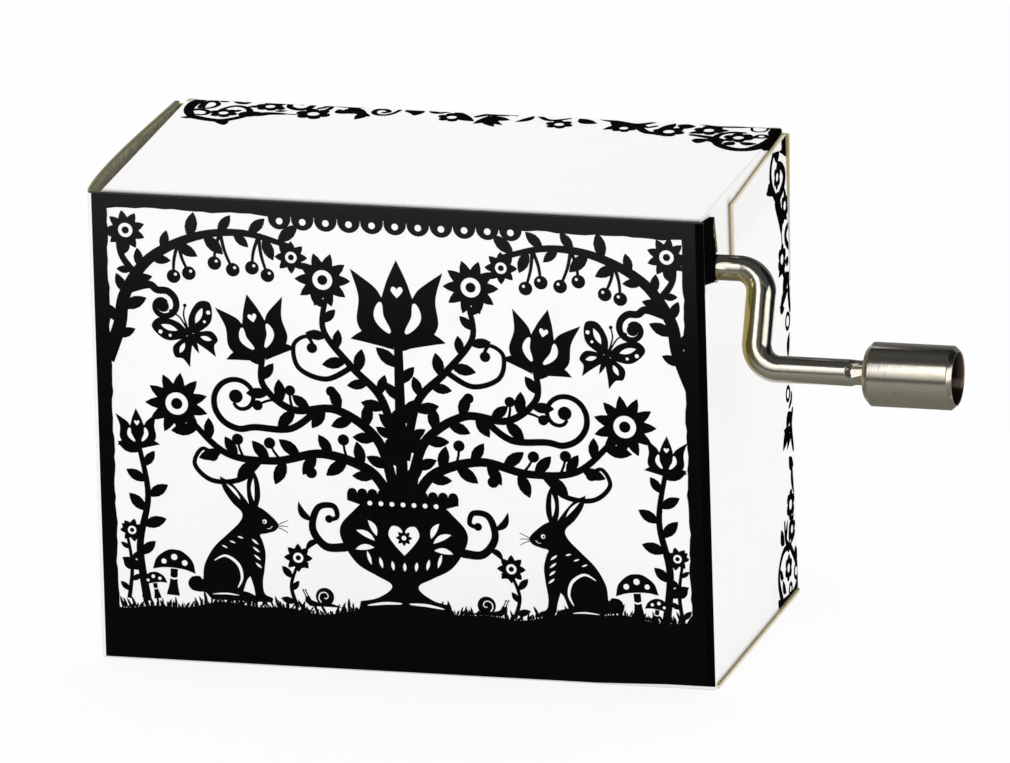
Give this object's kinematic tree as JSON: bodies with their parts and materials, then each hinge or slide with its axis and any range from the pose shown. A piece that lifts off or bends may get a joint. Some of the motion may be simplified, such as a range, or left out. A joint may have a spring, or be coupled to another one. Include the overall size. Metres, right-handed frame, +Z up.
{
  "type": "music box",
  "caption": "Small hand cranked music box: a folded card carton with a slotted side, a bent wire crank with a turning knob, and a comb and cylinder movement hung under the lid.",
  "frame": {"origin": "middle of the carton's underside, on the surface it stands on", "axes": "+Z up, +X from the carton towards the crank, -Y out of the carton's front"},
  "size_m": [0.0901, 0.0361, 0.049],
  "materials": {
    "printed_card": "white coated card, black printed, matt varnish",
    "grey_board": "plain grey recycled board",
    "nickel_plate": "bright nickel plate on steel, slightly warm",
    "zinc_casting": null,
    "zinc_plated_steel": "zinc plated steel",
    "screw_steel": "bright zinc plated screws",
    "comb_steel": "ground spring steel",
    "lead_weight": null,
    "movement_brass": "bright machined brass"
  },
  "bodies": {
    "carton": {"back_panel": "printed_card", "bedplate": "zinc_casting", "bottom_left_flap": "printed_card", "bottom_panel": "printed_card", "bottom_right_flap": "printed_card", "bottom_tuck_flap": "printed_card", "bracket_screws": "screw_steel", "comb": "comb_steel", "comb_screws": "screw_steel", "comb_weights": "lead_weight", "cradle_screws": "screw_steel", "front_arbor_bracket": "zinc_plated_steel", "front_panel": "printed_card", "left_panel": "printed_card", "lid_left_ear": "printed_card", "lid_panel": "printed_card", "lid_right_ear": "printed_card", "lid_tuck_flap": "printed_card", "movement_cradle": "grey_board", "rear_arbor_bracket": "zinc_plated_steel", "rear_glue_tab": "printed_card", "right_panel": "printed_card", "shaft_bushes": "movement_brass"},
    "crank": {"crank_wire": "nickel_plate", "worm": "movement_brass", "knob_washer": "nickel_plate"},
    "knob": {"crank_knob": "nickel_plate"},
    "cylinder": {"pinned_cylinder": "movement_brass", "cylinder_end_caps": "zinc_plated_steel", "cylinder_arbor": "zinc_plated_steel", "cylinder_gear": "movement_brass"}
  },
  "joints": [
    {"name": "crank_turn", "type": "hinge", "parent": "carton", "child": "crank", "pos_m": [0.032, -0.0118, 0.0429], "axis": [1, 0, 0], "continuous": true},
    {"name": "cylinder_turn", "type": "hinge", "parent": "carton", "child": "cylinder", "pos_m": [0.018, 0, 0.03415], "axis": [0, 1, 0], "continuous": true},
    {"name": "knob_spin", "type": "hinge", "parent": "crank", "child": "knob", "pos_m": [0.0484, -0.016, 0.03388], "axis": [1, 0, 0], "continuous": true}
  ],
  "couplings": [
    {"joint": "cylinder_turn", "follows": "crank_turn", "ratio": -0.038462}
  ]
}
